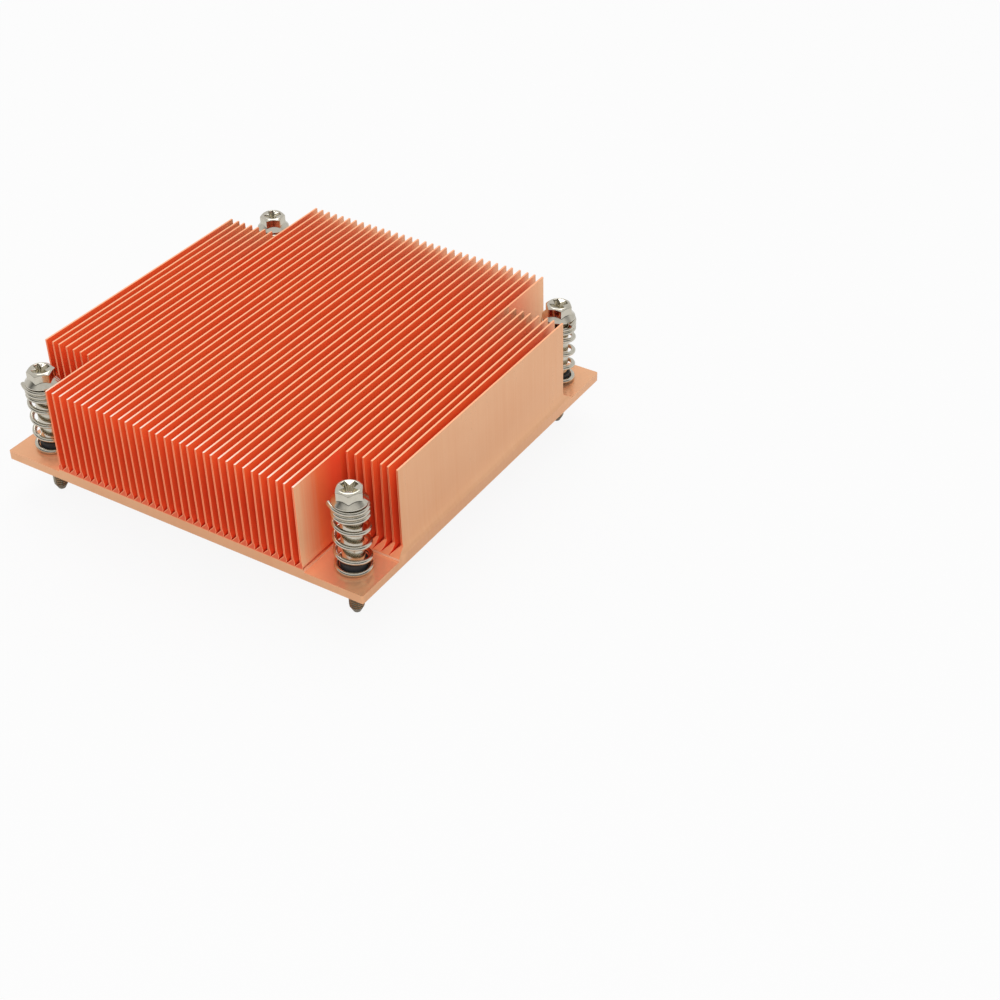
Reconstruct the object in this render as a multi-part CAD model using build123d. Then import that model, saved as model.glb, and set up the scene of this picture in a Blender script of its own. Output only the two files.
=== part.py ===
from build123d import *
import math
import os

# Low-profile passive processor heatsink in copper, with a spring screw at each corner.
# All sizes are in mm and angles in degrees. +Z is up, the contact face lies at z = 0 with its
# centre at the origin, the fins run along Y and stand in a row along X.

# Base plate
screw_spacing = 75.0       # square pattern of the board's holes
edge_margin = 6.45         # from the screws' axes to the plate's edges
valley_z = 2.5             # lowest line of every skived valley above the contact face
pad_depth = 0.5            # the pads under the springs are milled this far below the valleys
corner_radius = 0.5        # upright edges of the plate
edge_break = 0.15          # chamfer round the contact face

# Skived fins, cut from the plate one after the other and bent upright
fin_height = 18.85         # above the valleys
fin_count = 47
fin_thickness = 0.38
first_margin = 1.35        # from the -X edge to the foot of the first fin
last_margin = 0.85         # from the foot of the last fin to the +X edge
fin_lean = 0.35            # the tips stand this far towards -X of the feet
ramp_rise = 1.5            # height that each cut climbs towards the next fin
bend_height = 2.1          # above the valley, where a fin has become straight
bulge_height = 0.8         # above the valley, the widest line of the bent foot
bend_bulge = 0.3           # swell of the bent foot on its +X side
root_shift = 0.05          # the cut ends this far outside the fin's own +X face

# Corner notches, where the fins are milled away round the screws
fins_to_spring_x = 2.95    # free width between a spring and the first full-length fin
fins_to_spring_y = 3.85    # free width between a spring and the ends of the short fins
shelf = 0.4                # strip of valley left standing beside the last full-length fin
foot_run = 2.2             # the feet of the short fins slope out this far past their ends

# Spring screws: hexagon washer head, plain shank, threaded tip
shank_radius = 2.2
thread_radius = 1.5        # M3 over the crests
thread_end_radius = 1.05   # flat end of the tip
tip_chamfer = 0.7
tip_reach = 8.7            # end of the tip below the contact face, with the clip on its stop
groove_depth = 0.35        # groove for the clip, cut between shank and thread
flange_rim = 0.4
flange_cone = 0.9          # height of the washer face's slope above the rim
hexagon_width = 5.0        # across flats
head_height = 3.15
hexagon_chamfer = 0.35
recess_depth = 1.7
recess_length = 3.4
recess_width = 1.0
recess_taper = 12.0        # slope of the recess's walls

# Compression springs, left-hand wound
spring_length = 15.35      # from the pad to the head, with the clip on its stop
wire_diameter = 0.95
coil_count = 6.85
flat_turns = 0.45          # dead wire at the foot, which lies on the pad
open_until = 4.0           # turn at which the closed top coils begin
pitch_blend = 0.55         # turns over which the pitch changes
coil_past_head = 0.25      # the coils stand this far out past the rim of the head
wire_facets = 6
steps_per_turn = 10

# Guide sleeves in the plate's holes and retaining clips under it
sleeve_wall = 0.4
sleeve_stand = 2.0         # height of the sleeves above the pads
clip_thickness = 0.6
clip_overlap = 0.33        # the clip bears on the plate over this width round the hole
clip_band = 0.9            # width of the clip's curved band
clip_lug_width = 1.3
clip_snap = 0.3            # the clip's opening is this much narrower than the groove's neck
pocket_depth = 0.9         # pocket under the plate that takes the clip

# Clearances
running_gap = 0.05         # radial, shank in sleeve and clip on groove
sleeve_fit = 0.02          # radial, sleeve in the plate's hole
spring_play = 0.155        # radial, spring over sleeve
face_gap = 0.02            # between faces that bear on each other
clip_pocket_gap = 0.5      # radial, clip in its pocket
past_edge = 1.0            # how far a cutter runs past the face it leaves

screw_offset = screw_spacing / 2
half_side = screw_offset + edge_margin
base_side = 2 * half_side
fin_pitch = (base_side - first_margin - last_margin) / (fin_count - 1)
fin_top_z = valley_z + fin_height
pad_z = valley_z - pad_depth
sleeve_bore_radius = shank_radius + running_gap
sleeve_radius = sleeve_bore_radius + sleeve_wall
hole_radius = sleeve_radius + sleeve_fit
spring_radius = sleeve_radius + spring_play + wire_diameter / 2
spring_outer_radius = spring_radius + wire_diameter / 2
flange_z = pad_z + spring_length
flange_radius = spring_outer_radius - coil_past_head
head_top_z = flange_z + head_height
groove_radius = thread_radius - groove_depth
clip_radius = hole_radius + clip_overlap
clip_opening = 2 * groove_radius - clip_snap
clip_top_z = pocket_depth - face_gap
clip_bottom_z = clip_top_z - clip_thickness

# Corner name: (side in X, side in Y, turns of the screw's hexagon, of its recess and of the spring)
corners = {
    "front_right": (1, -1, 2, 77, 158),
    "front_left": (-1, -1, -11, 72, 158),
    "rear_left": (-1, 1, -20, 50, 228),
    "rear_right": (1, 1, 12, 52, 285),
}


def foot_x(index):
    """Foot of a fin on the X axis, counted from the -X end of the row."""
    return -half_side + first_margin + index * fin_pitch


def skived_gap():
    """Section between two neighbouring fins, drawn from the foot of the fin on its -X side."""
    half = fin_thickness / 2
    above = fin_top_z + past_edge
    return make_face(Polyline(
        (half + root_shift, valley_z),
        (half + bend_bulge, valley_z + bulge_height),
        (half, valley_z + bend_height),
        (half - fin_lean, above),
        (fin_pitch - half - fin_lean, above),
        (fin_pitch - half, valley_z + ramp_rise),
        close=True,
    ))


def first_margin_cut():
    """Section beside the first fin, where the ramp runs down to the -X edge of the plate."""
    half = fin_thickness / 2
    above = fin_top_z + past_edge
    slope = ramp_rise / (fin_pitch - fin_thickness - root_shift)
    ramp_end = (foot_x(0) - half, valley_z + ramp_rise)
    edge = (-half_side, ramp_end[1] - slope * (ramp_end[0] + half_side))
    return make_face(Polyline(
        ramp_end, edge, (-half_side - past_edge, edge[1]), (-half_side - past_edge, above),
        (ramp_end[0] - fin_lean, above), close=True,
    ))


def last_margin_cut():
    """Section beside the last fin, where the last cut runs out over the +X edge of the plate."""
    half = fin_thickness / 2
    above = fin_top_z + past_edge
    bulge = (foot_x(fin_count - 1) + half + bend_bulge, valley_z + bulge_height)
    bend = (foot_x(fin_count - 1) + half, valley_z + bend_height)
    return make_face(Polyline(
        (half_side, valley_z), bulge, bend, (bend[0] - fin_lean, above),
        (half_side + past_edge, above), (half_side + past_edge, valley_z), close=True,
    ))


def comb():
    """Plate and fins at full length, as one section run along Y."""
    block = Pos(0, fin_top_z / 2) * Rectangle(base_side, fin_top_z)
    gaps = [Pos(foot_x(index), 0) * skived_gap() for index in range(fin_count - 1)]
    section = block - gaps - first_margin_cut() - last_margin_cut()
    return extrude(Plane.XZ * section, amount=half_side, both=True)


def notch_wall_x(side):
    """Inner wall of a corner notch, beside the last fin that keeps its full length."""
    limit = screw_offset - spring_outer_radius - fins_to_spring_x
    inside = [foot_x(index) for index in range(fin_count) if side * foot_x(index) < limit]
    last_full = max(inside, key=lambda x: side * x)
    return last_full + side * (fin_thickness / 2 + shelf)


def corner_notch(side_x, side_y):
    """Space milled round one screw: a floor at the pad and a wall whose foot slopes out."""
    wall_y = screw_offset - spring_outer_radius - fins_to_spring_y
    above = fin_top_z + past_edge
    section = make_face(Polyline(
        (side_y * (wall_y + foot_run), pad_z),
        (side_y * (wall_y + foot_run), valley_z),
        (side_y * wall_y, valley_z + ramp_rise),
        (side_y * wall_y, above),
        (side_y * (half_side + past_edge), above),
        (side_y * (half_side + past_edge), pad_z),
        close=True,
    ))
    wall_x = notch_wall_x(side_x)
    length = half_side + past_edge - side_x * wall_x
    cutter = extrude(Plane.YZ * section, amount=length, dir=(side_x, 0, 0))
    return Pos(wall_x, 0, 0) * cutter


def sleeve_hole(side_x, side_y):
    """Hole for a guide sleeve with the clip's pocket below it."""
    place = Pos(side_x * screw_offset, side_y * screw_offset, 0)
    hole = extrude(Circle(hole_radius), amount=fin_top_z)
    pocket = extrude(Circle(clip_radius + clip_pocket_gap), amount=pocket_depth)
    below = extrude(Circle(clip_radius + clip_pocket_gap), amount=-past_edge)
    return place * (hole + pocket + below)


def heatsink_body():
    body = comb()
    upright = body.edges().filter_by(Axis.Z).filter_by(lambda edge: edge.center().Z < valley_z)
    body = fillet(upright, corner_radius)
    underside = body.faces().sort_by(Axis.Z)[0]
    body = chamfer(underside.edges(), edge_break)
    for side_x, side_y, _, _, _ in corners.values():
        body -= corner_notch(side_x, side_y)
        body -= sleeve_hole(side_x, side_y)
    return body


def screw_turning():
    """Everything on the screw that is round about its axis, with the groove for the clip."""
    groove_top = clip_top_z + face_gap
    groove_bottom = clip_bottom_z - face_gap
    rim_top = flange_z + flange_rim
    outline = Polyline(
        (0, -tip_reach),
        (thread_end_radius, -tip_reach),
        (thread_radius, tip_chamfer - tip_reach),
        (thread_radius, groove_bottom),
        (groove_radius, groove_bottom),
        (groove_radius, groove_top),
        (shank_radius, groove_top),
        (shank_radius, flange_z),
        (flange_radius, flange_z),
        (flange_radius, rim_top),
        (hexagon_width / 2, rim_top + flange_cone),
        (0, rim_top + flange_cone),
        close=True,
    )
    return revolve(Plane.XZ * make_face(outline), Axis.Z)


def screw_hexagon():
    """Hexagon with a chamfered top edge."""
    base = Pos(0, 0, flange_z + flange_rim)
    outline = RegularPolygon(hexagon_width / math.sqrt(3), 6)
    hexagon = base * extrude(outline, amount=head_top_z - flange_z - flange_rim)
    top = hexagon.faces().sort_by(Axis.Z)[-1]
    return chamfer(top.edges(), hexagon_chamfer)


def flat_face(*points):
    return Face(Wire.make_polygon(points, close=True))


def cross_corners(narrowing, z):
    """Corners of the driver's cross at one height, every side moved in by the narrowing."""
    tip = recess_length / 2 - narrowing
    side = recess_width / 2 - narrowing
    quarter = [Vector(tip, -side, z), Vector(tip, side, z), Vector(side, side, z)]
    return [point.rotate(Axis.Z, angle) for angle in (0, 90, 180, 270) for point in quarter]


def cross_recess():
    """Recess for the driver, which narrows from the top of the head to its floor."""
    narrowing = recess_depth * math.tan(math.radians(recess_taper))
    mouth = cross_corners(0, head_top_z)
    floor = cross_corners(narrowing, head_top_z - recess_depth)
    walls = [flat_face(mouth[i - 1], mouth[i], floor[i], floor[i - 1]) for i in range(len(mouth))]
    return Solid(Shell([flat_face(*mouth), flat_face(*floor), *walls]))


def spring_screw(side_x, side_y, hexagon_turn, recess_turn):
    turned = screw_turning() + Rot(0, 0, hexagon_turn) * screw_hexagon()
    screw = turned - Rot(0, 0, recess_turn) * cross_recess()
    return Pos(side_x * screw_offset, side_y * screw_offset, 0) * screw


def eased(turns):
    """Running total of a pitch that grows from nothing to one over the blend."""
    if turns <= 0:
        return 0
    if turns < pitch_blend:
        return turns ** 2 / (2 * pitch_blend)
    return turns - pitch_blend / 2


def coil_height(turns):
    """Height of the wire's centre above its lowest place, after this many turns from the foot."""
    rise = flange_z - pad_z - wire_diameter - 2 * face_gap
    closed_rise = wire_diameter * eased(coil_count - open_until)
    open_turns = eased(coil_count - flat_turns) - eased(coil_count - open_until)
    open_pitch = (rise - closed_rise) / open_turns
    open_part = open_pitch * (eased(turns - flat_turns) - eased(turns - open_until))
    return open_part + wire_diameter * eased(turns - open_until)


def wire_ring(turns, start_angle):
    """Corners of a polygon across the wire, this many turns up from the spring's foot."""
    angle = math.radians(start_angle - 360 * turns)
    step = 0.5 / steps_per_turn
    slope = (coil_height(turns + step) - coil_height(turns - step)) / (4 * math.pi * step)
    radial = Vector(math.cos(angle), math.sin(angle), 0)
    centre_z = pad_z + face_gap + wire_diameter / 2 + coil_height(turns)
    centre = spring_radius * radial + Vector(0, 0, centre_z)
    along = Vector(spring_radius * radial.Y, -spring_radius * radial.X, slope)
    across = Plane(centre, x_dir=radial, z_dir=along)
    corners_round = [math.radians(360 * corner / wire_facets) for corner in range(wire_facets)]
    radius = wire_diameter / 2
    return [across.from_local_coords((radius * math.cos(a), radius * math.sin(a))) for a in corners_round]


def compression_spring(side_x, side_y, start_angle):
    """Coil spring between the pad and the head, its wire a faceted rod carried round the helix."""
    steps = round(coil_count * steps_per_turn)
    rings = [wire_ring(coil_count * index / steps, start_angle) for index in range(steps + 1)]
    faces = [flat_face(*rings[0]), flat_face(*rings[-1])]
    for lower, upper in zip(rings, rings[1:]):
        for corner in range(wire_facets):
            following = (corner + 1) % wire_facets
            faces.append(flat_face(lower[corner], lower[following], upper[following]))
            faces.append(flat_face(lower[corner], upper[following], upper[corner]))
    return Pos(side_x * screw_offset, side_y * screw_offset, 0) * Solid(Shell(faces))


def retaining_clip(side_x, side_y, turn):
    """E-shaped clip that snaps into the screw's groove and stops it against the plate."""
    band = Circle(clip_radius) - Circle(clip_radius - clip_band)
    lug_length = clip_radius - groove_radius - running_gap - clip_band / 2
    lug_middle = groove_radius + running_gap + lug_length / 2
    for angle in (0, 120, 240):
        band += Rot(0, 0, angle) * Pos(lug_middle, 0) * Rectangle(lug_length, clip_lug_width)
    band -= Circle(groove_radius + running_gap)
    band -= Pos(-clip_radius, 0) * Rectangle(2 * clip_radius, clip_opening)
    clip = extrude(band, amount=clip_thickness)
    return Pos(side_x * screw_offset, side_y * screw_offset, clip_bottom_z) * Rot(0, 0, turn) * clip


def guide_sleeve(side_x, side_y):
    """Plastic sleeve pressed into the plate, which guides the shank and centres the spring."""
    bottom = pocket_depth + face_gap
    ring = Circle(sleeve_radius) - Circle(sleeve_bore_radius)
    sleeve = extrude(ring, amount=pad_z + sleeve_stand - bottom)
    return Pos(side_x * screw_offset, side_y * screw_offset, bottom) * sleeve


os.makedirs("parts", exist_ok=True)
export_step(heatsink_body(), "parts/heatsink_body.step")
for corner, (side_x, side_y, hexagon_turn, recess_turn, spring_start) in corners.items():
    screw = spring_screw(side_x, side_y, hexagon_turn, recess_turn)
    export_step(screw, f"parts/screw_{corner}.step")
    export_step(compression_spring(side_x, side_y, spring_start), f"parts/spring_{corner}.step")
    export_step(retaining_clip(side_x, side_y, hexagon_turn), f"parts/retaining_clip_{corner}.step")
    export_step(guide_sleeve(side_x, side_y), f"parts/guide_sleeve_{corner}.step")
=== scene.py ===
import math

import bmesh
import bpy
import numpy as np
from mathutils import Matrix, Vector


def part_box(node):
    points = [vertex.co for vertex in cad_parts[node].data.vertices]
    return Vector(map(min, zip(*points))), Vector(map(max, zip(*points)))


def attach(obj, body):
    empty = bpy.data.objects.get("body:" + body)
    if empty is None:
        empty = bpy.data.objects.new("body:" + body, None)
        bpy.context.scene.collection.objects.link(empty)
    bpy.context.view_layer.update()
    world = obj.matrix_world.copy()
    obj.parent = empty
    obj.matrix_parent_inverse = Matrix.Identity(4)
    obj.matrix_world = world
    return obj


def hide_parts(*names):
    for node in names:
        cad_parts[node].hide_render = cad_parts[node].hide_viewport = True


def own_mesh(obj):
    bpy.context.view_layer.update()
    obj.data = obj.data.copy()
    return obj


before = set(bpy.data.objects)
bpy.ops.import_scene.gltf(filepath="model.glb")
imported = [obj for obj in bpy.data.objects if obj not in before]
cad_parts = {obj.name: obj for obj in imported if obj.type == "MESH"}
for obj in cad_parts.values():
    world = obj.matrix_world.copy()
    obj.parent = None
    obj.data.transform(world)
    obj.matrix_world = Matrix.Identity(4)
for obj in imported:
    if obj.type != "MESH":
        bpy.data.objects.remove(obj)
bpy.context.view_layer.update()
print("frame loaded")

bpy.context.scene.view_settings.view_transform = "Standard"
mm = 0.001
corners = ("front_right", "front_left", "rear_left", "rear_right")
# the solid's sizes that several pieces need
finPitch, finFirst, finLean, finCount = 1.8630435 * mm, -42.6 * mm, 0.35 * mm, 47
finTop, finBend, valley, halfSide = 21.35 * mm, 4.6 * mm, 2.5 * mm, 43.95 * mm
shortFins = 7               # on each side of the row, cut back at the corner notches
shortEnd = 29.895 * mm      # ends of the short fins, where the corner notches begin
padHeight = 2.0 * mm        # milled floors of those notches
underHead = 17.35 * mm      # where the springs press on the screws
tipEnd = -8.7 * mm          # the screws' tips, on which the heatsink stands


def screwAxis(corner):
    # middle of the guide sleeve, which is where the corner's screw stands
    low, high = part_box("guide_sleeve_" + corner)
    return (low.x + high.x) / 2, (low.y + high.y) / 2


class Wire:
    # one output socket: the operators add Math nodes
    def __init__(self, shader, socket):
        self.shader, self.socket = shader, socket

    def math(self, operation, first, second=0.0):
        made = self.shader.node("ShaderNodeMath", {"operation": operation}, {0: first, 1: second})
        return Wire(self.shader, made.outputs[0])

    def __add__(self, other):
        return self.math("ADD", self, other)

    def __radd__(self, other):
        return self.math("ADD", other, self)

    def __sub__(self, other):
        return self.math("SUBTRACT", self, other)

    def __rsub__(self, other):
        return self.math("SUBTRACT", other, self)

    def __mul__(self, other):
        return self.math("MULTIPLY", self, other)

    def __rmul__(self, other):
        return self.math("MULTIPLY", other, self)

    def clamp(self):
        return self.math("MINIMUM", self.math("MAXIMUM", self, 0.0), 1.0)

    def size(self):
        return self.math("ABSOLUTE", self)

    def fading(self, length):
        # e to the power of minus the value over the length
        return self.math("EXPONENT", self * (-1 / length))


class Shader:
    # one material's node tree
    def __init__(self, name, owner=None):
        self.owner = owner or bpy.data.materials.new(name)
        self.owner.use_nodes = True
        self.tree = self.owner.node_tree
        self.tree.nodes.clear()

    def node(self, kind, settings=None, sockets=None):
        made = self.tree.nodes.new(kind)
        for key, value in (settings or {}).items():
            setattr(made, key, value)
        for key, value in (sockets or {}).items():
            if isinstance(value, Wire):
                self.tree.links.new(value.socket, made.inputs[key])
            else:
                made.inputs[key].default_value = value
        return made

    def out(self, made, name=0):
        return Wire(self, made.outputs[name])

    def mix(self, share, first, second):
        return self.out(self.node("ShaderNodeMix", {"data_type": "RGBA"}, {0: share, 6: first, 7: second}), 2)

    def placed(self, scale):
        # object coordinates stretched by a scale for each axis, in cells per metre
        where = self.out(self.node("ShaderNodeTexCoord"), "Object")
        return self.out(self.node("ShaderNodeMapping", None, {"Vector": where, "Scale": scale}))

    def noise(self, scale, detail=2.0, roughness=0.5):
        sockets = {"Vector": self.placed(scale), "Scale": 1.0, "Detail": detail, "Roughness": roughness}
        return self.out(self.node("ShaderNodeTexNoise", None, sockets), "Fac")

    def along(self, axis, source="Object"):
        where = self.out(self.node("ShaderNodeTexCoord"), source)
        return self.out(self.node("ShaderNodeSeparateXYZ", None, {0: where}), axis)

    def painted(self, name):
        return self.out(self.node("ShaderNodeAttribute", {"attribute_name": name}), "Fac")

    def bump(self, height, strength, distance):
        sockets = {"Height": height, "Strength": strength, "Distance": distance}
        return self.out(self.node("ShaderNodeBump", None, sockets))

    def surface(self, sockets):
        made = self.node("ShaderNodeBsdfPrincipled", None, sockets)
        end = self.node("ShaderNodeOutputMaterial")
        self.tree.links.new(made.outputs[0], end.inputs["Surface"])
        return self.owner


def rgba(red, green, blue):
    return (red, green, blue, 1.0)


copperLook = {
    "openFace": rgba(0.95, 0.53, 0.30),    # plate and outer fins
    "openDeep": rgba(0.91, 0.47, 0.25),    # the same where it has tarnished
    "gapReflectedRed": rgba(0.95, 0.162, 0.046),   # painted reflected red of the fin sides that face each other
    # the same darker: painted shade deeper down, and wear
    "gapShadeAndWear": rgba(0.88, 0.074, 0.024),
    "wallReflectedRed": rgba(1.0, 0.205, 0.07),    # painted reflected red of the same at the corner notches, where more light falls
    "wallCornerShade": rgba(1.0, 0.11, 0.04),     # painted shade, a deeper red at the inner corners of the notches
    "crestFace": rgba(1.0, 0.47, 0.255),   # narrow tops of the fins
    "crestGlint": rgba(1.0, 0.86, 0.75),   # painted highlight on the front ends of the long fins' tops, where their rounded corners catch the lamp
    "glintShare": 0.75,                    # strong over a short length, with a long faint tail
    "glintLength": 3.2 * mm,
    "tailShare": 0.12,
    "tailLength": 28.0 * mm,
    "endRimHighlight": rgba(1.0, 0.365, 0.18),      # burr edges of the sawn ends of the fins, painted bright as an edge highlight
    "endFace": rgba(0.92, 0.17, 0.08),     # sawn ends inside their edges
    "floorReflectedRed": rgba(1.0, 0.40, 0.21),   # painted reflection of the red walls on the milled floors of the corner notches
    "stepHighlight": rgba(1.0, 0.66, 0.46),      # painted highlight on the low step round those floors, along its rounded edge
    "reddening": (2.2, -0.1),              # rise of the painted reflected red along a notch's wall, and value at its open end
    "deepening": (2.8, -1.3),              # the same for the painted shade, a deeper red at the inner corner
    "redStreaks": 0.5,                     # contrast of the streaks in it
    "openMatt": 0.12,                      # share of the light that is scattered, not mirrored
    "gapMatt": 0.88,
    "cornerMatt": 0.85,
    "burrMatt": 0.6,
    "floorMatt": 0.2,                      # share of the corners' matt that the whole milled floor has
    "specular": 0.1,
    "openTail": 6.0 * mm,                  # the painted reflected red of the gaps fades over this length at their rear ends
    "openShare": 0.85,                     # by this share
    "gapDepth": 9 * mm,                    # and their painted shade is deepest this far below the tops
    "depthShare": 0.6,                     # share of the painted shade by depth in the gaps' colour, wear doing the rest
    "wallLength": 14.05 * mm,              # length of the walls of the corner notches
    "wallPlace": 30.3 * mm,                # their distance from the middle of the plate
    "rearRed": 0.35,                       # share of the painted red in the two rear notches
    "nearWall": 5.5 * mm,                  # the painted reflection makes the notch floors reddest within this distance of them
    "streaks": (300.0, 1500.0, 25.0),      # marks of the skiving blade run up the fins
    "clouds": (60.0, 45.0, 60.0),
    "grains": (9000.0, 9000.0, 9000.0),
    "wearLevel": 0.35,                     # clouds above this level show wear
    "wearClouds": 1.6,                     # contrast of each in the colour
    "wearStreaks": 0.9,
    "roughness": 0.33,
    "milledRoughness": 0.2,
    "roughStreaks": 0.22,                  # contrast of each in the roughness
    "roughClouds": 0.12,
    "roughGrains": 0.08,
    "relief": 0.03 * mm,
    "bump": 0.35,
    "bumpGrains": 0.25,                    # the streaks make the rest of it
}


def skivedCopper():
    look = copperLook
    shader = Shader("skivedCopper")
    x, y, z = (shader.along(axis) for axis in "XYZ")
    # the painted reflected red fades out where the gaps open at their rear ends
    toRearEnd = shader.painted("rearEnd") - y
    opened = toRearEnd.math("MAXIMUM", toRearEnd, 0.0).fading(look["openTail"]) * look["openShare"]
    enclosed = (shader.painted("enclosed") * (1 - opened)).clamp()
    wall, milled = shader.painted("wall"), shader.painted("milled")
    middle, stepped = shader.painted("middle"), shader.painted("stepped")
    # along a notch's wall: 0 at its open end, 1 at its inner corner
    inward = 1 - (y.size() - shortEnd) * (1 / look["wallLength"])
    # on a notch's floor: 1 along the two walls, less further out
    fromWalls = x.math("MINIMUM", x.size() - look["wallPlace"], y.size() - shortEnd)
    nearWalls = fromWalls.fading(look["nearWall"]).clamp()
    streaks = shader.noise(look["streaks"], 3.0, 0.6)
    clouds = shader.noise(look["clouds"], 3.0, 0.55)
    grains = shader.noise(look["grains"], 1.0)
    wear = (clouds - look["wearLevel"]) * look["wearClouds"] + (streaks - 0.5) * look["wearStreaks"]
    wear = wear.clamp()
    # painted light in the gaps: reflected red, with painted shade growing with depth below the tops, mixed
    # with wear
    depth = ((finTop - z) * (1 / look["gapDepth"])).clamp()
    outside = shader.mix(wear, look["openFace"], look["openDeep"])
    low = wear * (1 - look["depthShare"]) + depth * look["depthShare"]
    gap = shader.mix(low.clamp(), look["gapReflectedRed"], look["gapShadeAndWear"])
    colour = shader.mix(enclosed, outside, gap)
    # walls and floors of the two rear notches stay paler: less of the painted red there
    redShare = (0.5 - y * (1 / mm)).clamp() * (1 - look["rearRed"]) + look["rearRed"]
    redWall = wall * redShare
    (redRise, redStart), (deepRise, deepStart) = look["reddening"], look["deepening"]
    reddened = (inward * redRise + redStart + (streaks - 0.5) * look["redStreaks"]).clamp()
    deepened = (inward * deepRise + deepStart).clamp()
    # painted reflected red rising along the notch walls, and painted shade deepening it at their inner
    # corners
    colour = shader.mix(redWall * reddened, colour, look["wallReflectedRed"])
    colour = shader.mix(redWall * deepened, colour, look["wallCornerShade"])
    # painted highlight on the crests near the front ends of the long fins
    fromFront = y + halfSide
    glint = fromFront.fading(look["glintLength"]).clamp() * look["glintShare"]
    glint = glint + fromFront.fading(look["tailLength"]).clamp() * look["tailShare"]
    crest = shader.painted("crest")
    colour = shader.mix(crest, colour, shader.mix(glint, look["crestFace"], look["crestGlint"]))
    # painted reflection of the red walls on the notch floors near them
    colour = shader.mix(milled * nearWalls * redShare, colour, look["floorReflectedRed"])
    # the sawn ends: a painted edge highlight on their burr rims, their own red inside
    sawn = shader.painted("sawn")
    colour = shader.mix(sawn, colour, shader.mix(middle, look["endRimHighlight"], look["endFace"]))
    # painted highlight on the low steps round the notch floors
    colour = shader.mix(stepped, colour, look["stepHighlight"])
    nook = (wall + milled * (nearWalls * (1 - look["floorMatt"]) + look["floorMatt"])).clamp()
    matt = enclosed * (look["gapMatt"] - look["openMatt"]) + look["openMatt"]
    # burr: crests, the burr rims of the sawn ends and the steps, which carry painted highlights, made more
    # matt
    burr = (crest + sawn * (1 - middle) + stepped).clamp()
    matt = matt + nook * (look["cornerMatt"] - look["openMatt"])
    matt = matt + burr * (look["burrMatt"] - look["openMatt"])
    rough = (streaks - 0.5) * look["roughStreaks"] + (clouds - 0.5) * look["roughClouds"]
    rough = rough + (grains - 0.5) * look["roughGrains"] + look["roughness"]
    rough = rough - milled * (look["roughness"] - look["milledRoughness"])
    relief = streaks * (1 - look["bumpGrains"]) + grains * look["bumpGrains"]
    return shader.surface({
        "Base Color": colour, "Metallic": 1 - matt, "Roughness": rough,
        "Specular IOR Level": look["specular"],
        "Normal": shader.bump(relief, look["bump"], look["relief"]),
    })


nickelLook = {
    "bright": rgba(0.73, 0.687, 0.585),
    "dull": rgba(0.57, 0.532, 0.428),
    "specks": (700.0, 700.0, 700.0),
    "drawing": (2500.0, 2500.0, 900.0),
    "dullLevel": 0.45,                     # specks above this level are dull
    "dullContrast": 2.2,
    "roughness": 0.14,
    "roughSpecks": 0.18,
    "roughDrawing": 0.1,
    "bump": 0.25,
    "relief": 0.02 * mm,
    "thread": rgba(0.31, 0.27, 0.20),      # painted shade on the threads below the plate, which shades them
    "threadTop": 0.2 * mm,
    "threadFade": 0.5 * mm,
}


def nickelPlate(name, threadShade):
    look = nickelLook
    shader = Shader(name)
    specks = shader.noise(look["specks"], 3.0, 0.6)
    drawing = shader.noise(look["drawing"], 2.0)
    wear = ((specks - look["dullLevel"]) * look["dullContrast"]).clamp()
    rough = (specks - 0.5) * look["roughSpecks"] + (drawing - 0.5) * look["roughDrawing"] + look["roughness"]
    # painted shade on the threads under the plate, fading in over half a millimetre at its underside
    below = ((look["threadTop"] - shader.along("Z")) * (1 / look["threadFade"])).clamp()
    plated = shader.mix(wear, look["bright"], look["dull"])
    return shader.surface({
        "Base Color": shader.mix(below * threadShade, plated, look["thread"]), "Metallic": 1.0,
        "Roughness": rough, "Normal": shader.bump(drawing, look["bump"], look["relief"]),
    })


clipLook = {
    "scratches": rgba(0.36, 0.36, 0.37),
    "ridges": rgba(0.5, 0.5, 0.5),
    "brushing": (400.0, 6000.0, 400.0),
    "roughness": 0.28,
    "roughBrushing": 0.2,
    "bump": 0.2,
    "relief": 0.02 * mm,
}


def springSteel():
    look = clipLook
    shader = Shader("springSteelSheet")
    brushed = shader.noise(look["brushing"], 2.0)
    tone = shader.mix(brushed, look["scratches"], look["ridges"])
    return shader.surface({
        "Base Color": tone, "Metallic": 1.0, "Roughness": brushed * look["roughBrushing"] + look["roughness"],
        "Normal": shader.bump(brushed, look["bump"], look["relief"]),
    })


nylonLook = {
    "hollows": rgba(0.016, 0.016, 0.017),
    "raised": rgba(0.035, 0.035, 0.037),
    "moulding": (3500.0, 3500.0, 3500.0),
    "roughness": 0.35,
    "roughMoulding": 0.25,
    "bump": 0.3,
    "relief": 0.04 * mm,
}


def blackNylon():
    look = nylonLook
    shader = Shader("blackNylon")
    moulded = shader.noise(look["moulding"], 3.0, 0.6)
    tone = shader.mix(moulded, look["hollows"], look["raised"])
    return shader.surface({
        "Base Color": tone, "Roughness": moulded * look["roughMoulding"] + look["roughness"],
        "Normal": shader.bump(moulded, look["bump"], look["relief"]),
    })


def dress(piece, material):
    piece.data.materials.clear()
    piece.data.materials.append(material)


copper = skivedCopper()
screwPlate = nickelPlate("nickelPlateScrew", 0.8)
springPlate = nickelPlate("nickelPlateSpring", 0.0)
clipSteel = springSteel()
nylon = blackNylon()
print("finishes made")


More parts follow.
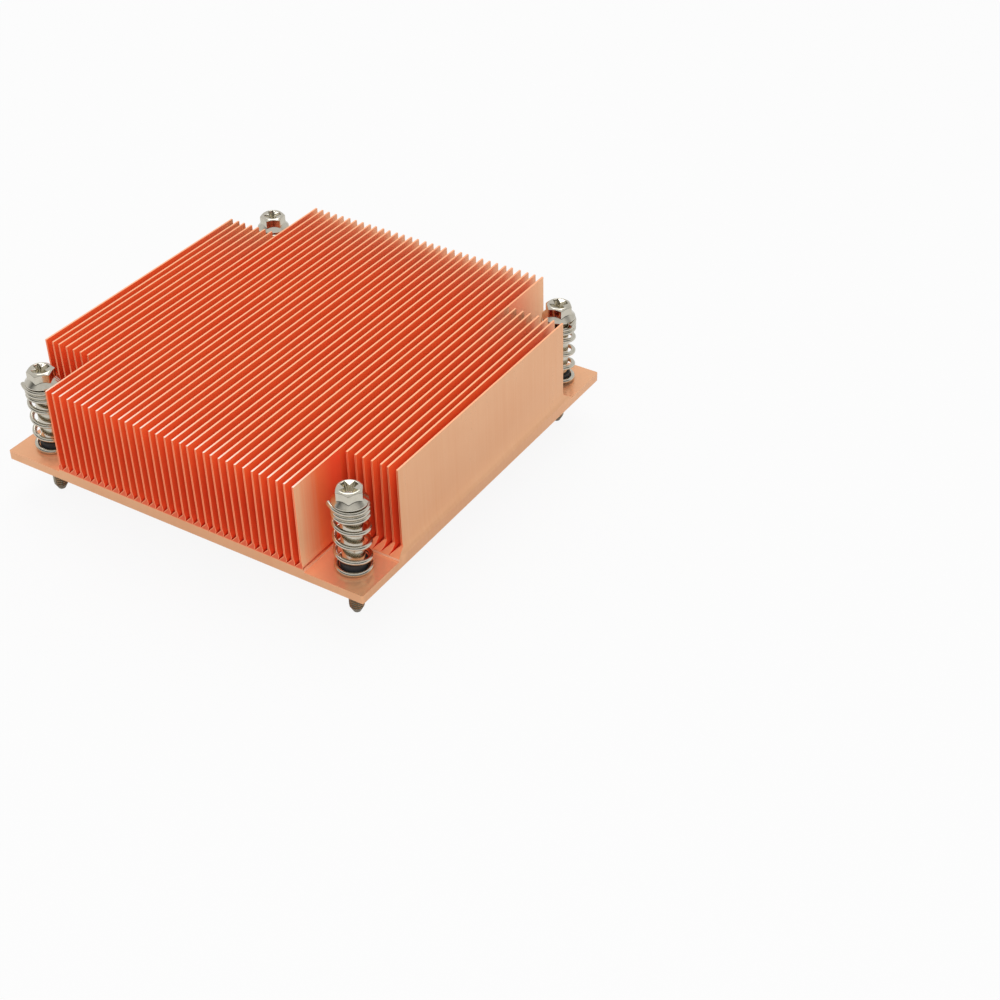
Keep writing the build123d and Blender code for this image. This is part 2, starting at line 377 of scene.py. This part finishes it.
def gridPiece(name, points, material, body, replaced):
    # points: rows x columns x 3, each row a closed ring. A row of one point becomes a pole.
    rows, columns = points.shape[:2]
    index = np.arange(rows * columns).reshape(rows, columns)
    following = np.roll(index, -1, axis=1)
    quads = np.stack([index[:-1], following[:-1], following[1:], index[1:]], axis=-1)
    mesh = bpy.data.meshes.new(name)
    mesh.from_pydata(points.reshape(-1, 3).tolist(), [], quads.reshape(-1, 4).tolist())
    cleaner = bmesh.new()
    cleaner.from_mesh(mesh)
    bmesh.ops.remove_doubles(cleaner, verts=cleaner.verts, dist=1e-7)
    bmesh.ops.recalc_face_normals(cleaner, faces=cleaner.faces)
    cleaner.to_mesh(mesh)
    cleaner.free()
    mesh.shade_smooth()
    mesh.set_sharp_from_angle(angle=math.radians(32))
    piece = bpy.data.objects.new(name, mesh)
    bpy.context.scene.collection.objects.link(piece)
    dress(piece, material)
    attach(piece, body)
    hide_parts(replaced)
    return piece


comb = {
    "bevel": 0.045 * mm,
    "wander": 0.10 * mm,       # sideways stray of the fins' tips
    "mostStray": 2.2,          # times the wander
    "strays": {2: -2.0, 29: -1.6, 30: -1.9, 31: -1.7, 32: -1.5},     # fins that lean aside plainly
    "outerShare": 0.15,        # the two outermost fins stray little
    "ripple": 0.03 * mm,       # slow wave along each fin
    "rippleLength": 14 * mm,
    "cycles": (0.6, 1.6),      # least and most radians of the wave in that length
    "seed": 7,
    "rim": 0.12 * mm,          # burr round the sawn ends, painted bright as an edge highlight
    # mm, where planes cut the solid's long faces, so that the fins can bend and the paint has edges
    "cutsAlong": (-40, -34, -29.895, -25, -18, -9, 0, 9, 18, 25, 29.895, 34, 40),
    "cutsUp": (2.5, 2.75, 3.0, 3.6, 3.95, 4.3, 8, 12.5, 17),
}


def finOf(x, z):
    # number of the fin whose middle line passes nearest, its lean taken out
    lean = finLean * np.clip((z - finBend) / (finTop - finBend), 0, 1)
    return np.round((x + lean - finFirst) / finPitch)


def isShort(fin):
    return (fin < shortFins) | (fin >= finCount - shortFins)


def heatsinkBody():
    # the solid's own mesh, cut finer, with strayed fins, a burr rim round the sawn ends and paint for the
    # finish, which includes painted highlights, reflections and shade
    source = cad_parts["heatsink_body"]
    work = bmesh.new()
    work.from_mesh(source.data)
    bmesh.ops.remove_doubles(work, verts=work.verts, dist=2e-6)
    bmesh.ops.dissolve_limit(
        work, angle_limit=math.radians(0.5), verts=work.verts, edges=work.edges, delimit={"NORMAL"}
    )
    # the flat underside, with its four pockets, is cut into triangles so that the planes below cut it cleanly
    flat = [face for face in work.faces if face.normal.z < -0.99]
    bmesh.ops.triangulate(work, faces=flat)
    cuts = [((0, y * mm, 0), (0, 1, 0)) for y in comb["cutsAlong"]]
    cuts += [((0, 0, z * mm), (0, 0, 1)) for z in comb["cutsUp"]]
    for place, normal in cuts:
        everything = work.verts[:] + work.edges[:] + work.faces[:]
        bmesh.ops.bisect_plane(work, geom=everything, dist=1e-7, plane_co=place, plane_no=normal)
    # the saw leaves a burr round each fin's end; the finish paints its rim bright as an edge highlight
    layer = work.faces.layers.float.new("middle")
    sawn = []
    for face in work.faces:
        height = face.calc_center_median().z
        if valley < height < finTop and abs(face.normal.z) < 0.8 and abs(face.normal.y) > 0.3:
            sawn.append(face)
    bmesh.ops.inset_region(work, faces=sawn, thickness=comb["rim"], use_even_offset=True)
    for face in sawn:
        face[layer] = 1.0
    mesh = bpy.data.meshes.new("heatsink")
    work.to_mesh(mesh)
    work.free()

    count = len(mesh.vertices)
    place = np.zeros(count * 3)
    mesh.vertices.foreach_get("co", place)
    place = place.reshape(-1, 3)
    x, y, z = place.T
    # each fin strays by its own amount, in proportion to its height, and waves slowly along its length
    draw = np.random.default_rng(comb["seed"])
    stray, phase, cycles = draw.normal(0, 1, 64), draw.uniform(0, 6.28, 64), draw.uniform(*comb["cycles"], 64)
    for index, amount in comb["strays"].items():
        stray[index] = amount
    stray = np.clip(stray, -comb["mostStray"], comb["mostStray"])
    number = np.clip(finOf(x, z), 0, finCount - 1).astype(int)
    rise = np.clip((z - finBend) / (finTop - finBend), 0, 1)
    wave = np.sin(cycles[number] * y / comb["rippleLength"] + phase[number])
    shift = rise * (comb["wander"] * stray[number] + comb["ripple"] * wave)
    shift[(number == 0) | (number == finCount - 1)] *= comb["outerShare"]
    place[:, 0] += shift
    mesh.vertices.foreach_set("co", place.ravel())

    faces = len(mesh.polygons)
    middle, normal = np.zeros(faces * 3), np.zeros(faces * 3)
    mesh.polygons.foreach_get("center", middle)
    mesh.polygons.foreach_get("normal", normal)
    x, y, z = middle.reshape(-1, 3).T
    toX, toY, toZ = normal.reshape(-1, 3).T
    # which fin a face looks at, and whether that fin stands there: the short ones end at the notches
    side = np.sign(toX)
    facing = finOf(x + side * 0.0001 * mm, z) + side
    inRow = (facing >= 0) & (facing < finCount)
    inNotch = isShort(facing) & (np.abs(y) > shortEnd)
    upright = (np.abs(toX) > 0.45) & (z > valley)
    floor = (toZ > 0.3) & (z < finBend) & (z > valley + 0.01 * mm)
    slope = (np.abs(toY) > 0.3) & (toZ > 0.3)
    within = np.maximum(np.abs(x), np.abs(y)) < halfSide - 0.1 * mm
    # masks for the finish: enclosed and wall place the painted reflected red and shade, sawn, crest and
    # stepped the painted highlights, milled the painted reflection on the notch floors
    paints = {
        "enclosed": (upright | (floor & ~slope)) & inRow & ~inNotch,
        "wall": upright & inRow & inNotch,
        "sawn": ((np.abs(toY) > 0.6) | slope) & (z > valley),
        "crest": (toZ > 0.7) & (z > finTop - 0.3 * mm),
        "stepped": (np.abs(toZ) < 0.1) & (z > padHeight) & (z < valley) & within,
        "milled": (toZ > 0.9) & (np.abs(z - padHeight) < 0.1 * mm),
        "rearEnd": np.where(isShort(facing) | isShort(finOf(x, z)), shortEnd, halfSide),
    }
    for name, values in paints.items():
        mesh.attributes.new(name, "FLOAT", "FACE").data.foreach_set("value", values.astype(float))
    mesh.shade_smooth()
    mesh.polygons.foreach_set("use_smooth", toZ > -0.99)
    mesh.set_sharp_from_angle(angle=math.radians(20))
    piece = bpy.data.objects.new("heatsink", mesh)
    bpy.context.scene.collection.objects.link(piece)
    edge = piece.modifiers.new("edges", "BEVEL")
    edge.width, edge.segments, edge.harden_normals = comb["bevel"], 2, True
    edge.limit_method, edge.angle_limit = "ANGLE", math.radians(40)
    dress(piece, copper)
    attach(piece, "heatsink")
    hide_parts("heatsink_body")
    return piece


heatsinkBody()
print("heatsink made")


spring = {
    "foot": padHeight + 0.02 * mm, "length": 15.31 * mm, "radius": 3.28 * mm, "wire": 0.95 * mm,
    "turns": 6.85,
    "flatTurns": 0.45,         # dead wire at the foot
    "openUntil": 4.0,          # turn at which the closed ones begin
    "easing": 0.55,            # turns over which the pitch changes
    "flare": 0.7 * mm,         # the last wire bends outwards by this much
    "flareTurns": 0.14,
    "edge": 0.12 * mm,         # rounding of the wire's cut ends
    "travel": 6 * mm,          # of the screw that presses on it
    "firstTurn": {"front_right": 158, "front_left": 158, "rear_left": 228, "rear_right": 285},
    "steps": 290,
    "round": 16,
}


def easedTurns(turns):
    # running total of a pitch that grows from nothing to one: half a square, then a straight line
    started = np.clip(turns, 0, spring["easing"])
    return started ** 2 / (2 * spring["easing"]) + np.maximum(turns - spring["easing"], 0)


def coilHeight(turns):
    # dead turn at the foot, wide turns in the middle, closed turns at the top, one wire apart
    wire, total = spring["wire"], spring["turns"]
    closed = wire * easedTurns(turns - spring["openUntil"])
    opened = easedTurns(turns - spring["flatTurns"]) - easedTurns(turns - spring["openUntil"])
    allClosed = easedTurns(total - spring["openUntil"])
    allOpened = easedTurns(total - spring["flatTurns"]) - allClosed
    return closed + opened * (spring["length"] - wire - wire * allClosed) / allOpened


def coilSpring(corner):
    # a left-hand helix, with a circle carried along it square to the line and closed to a point at each end
    x0, y0 = screwAxis(corner)
    turns = np.linspace(0, spring["turns"], spring["steps"])
    angle = np.radians(spring["firstTurn"][corner] - 360 * turns)
    past = np.clip((turns - spring["turns"] + spring["flareTurns"]) / spring["flareTurns"], 0, 1)
    radius = spring["radius"] + spring["flare"] * past ** 2
    half, edge = spring["wire"] / 2, spring["edge"]
    height = spring["foot"] + half + coilHeight(turns)
    line = np.stack([radius * np.cos(angle), radius * np.sin(angle), height], axis=1)
    along = np.gradient(line, axis=0)
    along /= np.linalg.norm(along, axis=1, keepdims=True)
    outward = np.stack([np.cos(angle), np.sin(angle), 0 * angle], axis=1)
    outward -= along * np.sum(along * outward, axis=1, keepdims=True)
    outward /= np.linalg.norm(outward, axis=1, keepdims=True)
    upward = np.cross(along, outward)
    across = np.linspace(0, 2 * np.pi, spring["round"], endpoint=False)[None, :, None]
    # rows: pole, small end face, rounded rim, the wire, and the same again at the other end
    sizes = np.concatenate([[0, half - edge], np.full(len(turns), half), [half - edge, 0]])
    rows = np.concatenate([[0, 0], np.arange(len(turns)), [len(turns) - 1] * 2])
    push = np.zeros(len(sizes))
    push[:2], push[-2:] = -edge, edge
    centre = line[rows] + along[rows] * push[:, None]
    ring = np.cos(across) * outward[rows][:, None] + np.sin(across) * upward[rows][:, None]
    points = centre[:, None] + ring * sizes[:, None, None] + np.array([x0, y0, 0])
    node = "spring_" + corner
    piece = gridPiece("coilSpring_" + corner, points, springPlate, "heatsink", node)
    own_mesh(piece)
    return piece


for corner in corners:
    coilSpring(corner)
print("springs made")


screw = {
    # radii and depths of the tip, the thread, the groove for the clip and the shank
    "tipRadius": 0.75 * mm, "crest": 1.5 * mm, "threadDepth": 0.31 * mm, "pitch": 0.5 * mm,
    "tipChamfer": 1.4 * mm, "threadTop": 0.26 * mm, "groove": 1.15 * mm, "grooveTop": 0.9 * mm,
    "flank": 2.6, "flat": 0.25,        # steepness of the thread's sides, and how much of it is cut off
    "shank": 2.2 * mm, "shankEdge": 0.1 * mm,
    # washer face, hexagon, and its top with a dish inside a rim
    "flange": 3.505 * mm, "flangeEdge": 0.08 * mm, "rim": 0.4 * mm, "cone": 0.9 * mm,
    "hollow": 0.1 * mm,
    "apothem": 2.5 * mm, "blunt": 2.83 * mm, "headTop": 20.5 * mm, "crown": 2.25 * mm, "crownDrop": 0.05 * mm,
    "dishRim": 2.02 * mm, "dishSlope": 0.27, "dishBend": 0.06 * mm,
    "chamferSlope": 0.58, "edgeRound": 0.09 * mm,
    "roundSteps": ((1.3, 0.0), (0.75, 0.12), (0.3, 0.42), (0.0, 0.85)),    # drop and inset, times edgeRound
    "crownSteps": (0.985, 0.96, 0.93, 0.90, 0.87),                         # times the crown
    # cross recess: depth, reach and half width of an arm, what both lose towards the floor, edge of the mouth
    "recess": 1.7 * mm, "armLength": 1.84 * mm, "armWidth": 0.58 * mm, "narrowing": 0.36 * mm,
    "lip": 0.07 * mm,
    "lipSteps": ((-1, 0.0), (-0.35, 0.25), (0, 1.0)),      # narrowing and drop, times the lip
    "widestMouth": 0.86,                                   # times the crown
    "columns": 96,
    "besideCorner": 0.03,      # radians from a corner of the hexagon to the column on each side of it
    "hexagonTurn": {"front_right": 2, "front_left": -11, "rear_left": -20, "rear_right": 12},
    "recessTurn": {"front_right": 77, "front_left": 72, "rear_left": 50, "rear_right": 52},
}


def hexagonReach(angle):
    # from the middle of a regular hexagon to its side, with a corner at angle 0, blunted to a circle
    inSide = (angle + np.pi / 6) % (np.pi / 3) - np.pi / 6
    return np.minimum(screw["apothem"] / np.cos(np.pi / 6 - np.abs(inSide)), screw["blunt"])


def crossReach(angle, narrowing):
    # from the middle of a cross to its outline: the end or the side of an arm, whichever comes first
    length, width = screw["armLength"] - narrowing, screw["armWidth"] - narrowing
    inArm = np.abs((angle + np.pi / 4) % (np.pi / 2) - np.pi / 4)
    return np.minimum(length / np.cos(inArm), width / np.maximum(np.sin(inArm), 1e-6))


def crownLevel(reach):
    # the top dips like a shallow cone inside its rim, and outside it bends down to the chamfer
    inside = screw["dishRim"] - reach
    ramp = (inside + np.sqrt(inside ** 2 + screw["dishBend"] ** 2)) / 2
    return screw["headTop"] - screw["dishSlope"] * ramp - screw["crownDrop"] * (reach / screw["crown"]) ** 12


def screwAngles(hexagonTurn, recessTurn):
    # directions of the grid's columns: even steps, and both sides of every corner of hexagon and cross
    s = screw
    near = s["besideCorner"]
    marks = [hexagonTurn + k * np.pi / 3 + d for k in range(6) for d in (-near, 0, near)]
    for narrowing in (-s["lip"], 0, s["narrowing"]):
        arm = np.arctan2(s["armWidth"] - narrowing, s["armLength"] - narrowing)
        marks += [recessTurn + k * np.pi / 2 + d for k in range(4) for d in (-arm, arm, np.pi / 4)]
    even = np.linspace(0, 2 * np.pi, s["columns"], endpoint=False)
    return np.unique(np.round(np.concatenate([even, np.array(marks) % (2 * np.pi)]), 4))


def screwPiece(corner):
    # one surface from the tip to the floor of the recess: for each height a reach that depends on the angle
    s = screw
    x0, y0 = screwAxis(corner)
    hexagonTurn, recessTurn = math.radians(s["hexagonTurn"][corner]), math.radians(s["recessTurn"][corner])
    angle = screwAngles(hexagonTurn, recessTurn)
    rows = []

    def row(height, reach):
        rows.append((np.zeros_like(angle) + height, np.zeros_like(angle) + reach))

    row(tipEnd, 0)
    row(tipEnd, s["tipRadius"])
    for height in np.arange(tipEnd, s["threadTop"], s["pitch"] / 10):
        # thread: a triangle wave of height and angle, cut off at crest and root, faded in from the tip
        turn = (height / s["pitch"] - angle / (2 * np.pi)) % 1
        cut = np.clip(np.abs(turn - 0.5) * s["flank"] - s["flat"], 0, 1) * s["threadDepth"]
        lead = min(1, (height - tipEnd) / s["tipChamfer"])
        cone = s["tipRadius"] + (s["crest"] - s["tipRadius"]) * lead
        row(height, np.minimum(cone, s["crest"] - cut))
    row(s["threadTop"], s["crest"] - s["threadDepth"])
    row(s["threadTop"], s["groove"])
    row(s["grooveTop"], s["groove"])
    row(s["grooveTop"], s["shank"] - s["shankEdge"])
    row(s["grooveTop"] + s["shankEdge"], s["shank"])
    flangeFlat = s["flange"] - s["flangeEdge"]
    row(underHead, s["shank"])
    row(underHead, flangeFlat)
    row(underHead + s["flangeEdge"], s["flange"])
    rimTop = underHead + s["rim"]
    row(rimTop - s["hollow"], s["flange"])
    row(rimTop, flangeFlat)
    hexagon = hexagonReach(angle - hexagonTurn)
    coneSlope = (flangeFlat - s["apothem"]) / s["cone"]
    # the washer face climbs to the hexagon, sooner at its corners, and a small hollow joins the two
    meet = rimTop + (flangeFlat - hexagon) / coneSlope
    row(meet - s["hollow"] / coneSlope, hexagon + s["hollow"])
    row(meet + 0.01 * mm, hexagon + 0.025 * mm)
    row(meet + 0.08 * mm, hexagon)
    # the chamfer falls from the crown to the hexagon's sides, lower at the corners, over a rounded edge
    crownHeight = crownLevel(s["crown"])
    edge = crownHeight - (hexagon - s["crown"]) * s["chamferSlope"]
    for lower, inward in s["roundSteps"]:
        row(edge - s["edgeRound"] * lower, hexagon - s["edgeRound"] * inward)
    row(crownHeight - 0.03 * mm * s["chamferSlope"], s["crown"] + 0.03 * mm)
    for share in s["crownSteps"]:
        row(crownLevel(s["crown"] * share), s["crown"] * share)
    for narrowing, down in s["lipSteps"]:
        mouth = crossReach(angle - recessTurn, s["lip"] * narrowing)
        mouth = np.minimum(mouth, s["crown"] * s["widestMouth"])
        row(crownLevel(mouth) - s["lip"] * down, mouth)
    row(s["headTop"] - s["recess"], crossReach(angle - recessTurn, s["narrowing"]))
    row(s["headTop"] - s["recess"] - 0.05 * mm, 0)
    height, reach = np.array(rows).transpose(1, 0, 2)
    points = np.stack([x0 + reach * np.cos(angle), y0 + reach * np.sin(angle), height], axis=-1)
    node = "screw_" + corner
    return gridPiece("springScrew_" + corner, points, screwPlate, node, node)


for corner in corners:
    screwPiece(corner)
    dress(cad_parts["retaining_clip_" + corner], clipSteel)
    dress(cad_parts["guide_sleeve_" + corner], nylon)
print("screws made")


studio = {
    "floorColour": rgba(0.62, 0.62, 0.62),
    "floorDrop": 0.02 * mm,     # below the tips
    "floorReach": 1.5,          # metres to each side
    "ownWhite": 0.9,            # share of the floor's white that no shadow dims
    "mirroredWhite": 0.05,      # the same share where a metal mirrors the floor
    "sky": 0.8,
    "mirroredSky": 0.65,        # the same in reflections
    "roomSide": (0.53, -0.85),  # direction of the dim side of the room, which only reflections show
    "roomEdge": 2.5,            # how quickly it gets dim towards that side
    "roomWidth": 0.45,
    "roomTop": 0.7,             # sine of the height at which the dim room ends
    "topEdge": 5.0,
    "roomDim": 0.86,
}


def floorPiece():
    # one flat square, larger than the view
    reach, height = studio["floorReach"], tipEnd - studio["floorDrop"]
    square = [(x * reach, y * reach, height) for x, y in ((-1, -1), (1, -1), (1, 1), (-1, 1))]
    mesh = bpy.data.meshes.new("floor")
    mesh.from_pydata(square, [], [(0, 1, 2, 3)])
    piece = bpy.data.objects.new("floor", mesh)
    bpy.context.scene.collection.objects.link(piece)
    shader = Shader("paleFloor")
    path = shader.node("ShaderNodeLightPath")
    seen = shader.out(path, "Is Camera Ray") * studio["ownWhite"]
    passedOn = shader.out(path, "Is Glossy Ray") + shader.out(path, "Is Transmission Ray")
    mirrored = passedOn * studio["mirroredWhite"]
    matt = shader.node("ShaderNodeBsdfDiffuse", None, {"Color": studio["floorColour"]})
    white = shader.node("ShaderNodeEmission", None, {"Color": rgba(1, 1, 1), "Strength": 1.0})
    sockets = {0: (seen + mirrored).clamp(), 1: shader.out(matt), 2: shader.out(white)}
    both = shader.node("ShaderNodeMixShader", None, sockets)
    end = shader.node("ShaderNodeOutputMaterial")
    shader.tree.links.new(both.outputs[0], end.inputs["Surface"])
    dress(piece, shader.owner)


def skyLight():
    # white for the camera, a little under white as a light, and for reflections dim towards one low side
    world = bpy.data.worlds.new("studio")
    bpy.context.scene.world = world
    shader = Shader("studio", world)
    path = shader.node("ShaderNodeLightPath")
    seen, mirrored = shader.out(path, "Is Camera Ray"), shader.out(path, "Is Glossy Ray")
    x, y, z = (shader.along(axis, "Generated") for axis in "XYZ")
    side = x * studio["roomSide"][0] + y * studio["roomSide"][1]
    towards = (side * studio["roomEdge"] + studio["roomWidth"]).clamp()
    low = ((studio["roomTop"] - z) * studio["topEdge"]).clamp()
    mirroredRoom = (1 - towards * low * studio["roomDim"]) * studio["mirroredSky"]
    strength = seen + (1 - seen) * (mirrored * mirroredRoom + (1 - mirrored) * studio["sky"])
    sky = shader.node("ShaderNodeBackground", None, {"Color": rgba(1, 1, 1), "Strength": strength})
    end = shader.node("ShaderNodeOutputWorld")
    shader.tree.links.new(sky.outputs[0], end.inputs["Surface"])


lamps = {
    # name: place, point it looks at, width, height, watts
    "overhead": ((-0.15, 0.24, 0.75), (0, 0, 0), 0.55, 0.55, 2.0),
    "front": ((0.42, -0.62, 0.55), (0, 0, 0.01), 0.5, 0.35, 2.8),
}


def areaLamp(name, place, target, width, height, watts):
    data = bpy.data.lights.new(name, "AREA")
    data.shape, data.size, data.size_y, data.energy = "RECTANGLE", width, height, watts
    lamp = bpy.data.objects.new(name, data)
    lamp.location = place
    back = np.subtract(place, target)
    flat = math.hypot(back[0], back[1])
    lamp.rotation_euler = (math.atan2(flat, back[2]), 0, math.atan2(back[0], -back[1]))
    # the front lamp brightens matt copper and draws no patch on the nickel
    lamp.visible_glossy = name != "front"
    bpy.context.scene.collection.objects.link(lamp)


view = {
    # solved from the corners of the plate, the fins and the screws in the photograph
    "place": (0.196466, -0.241632, 0.211758),
    "turns": (52.9177, 0.1885, 31.7356),
    "lens": 64.1,
    "sensor": 36.0,
}


def photoCamera():
    data = bpy.data.cameras.new("photoView")
    data.lens, data.sensor_width, data.sensor_fit = view["lens"], view["sensor"], "HORIZONTAL"
    data.clip_start, data.clip_end = 0.01, 20
    camera = bpy.data.objects.new("photoView", data)
    camera.location = view["place"]
    camera.rotation_euler = [math.radians(turn) for turn in view["turns"]]
    bpy.context.scene.collection.objects.link(camera)
    bpy.context.scene.camera = camera


floorPiece()
skyLight()
for name, settings in lamps.items():
    areaLamp(name, *settings)
photoCamera()
print("studio made")
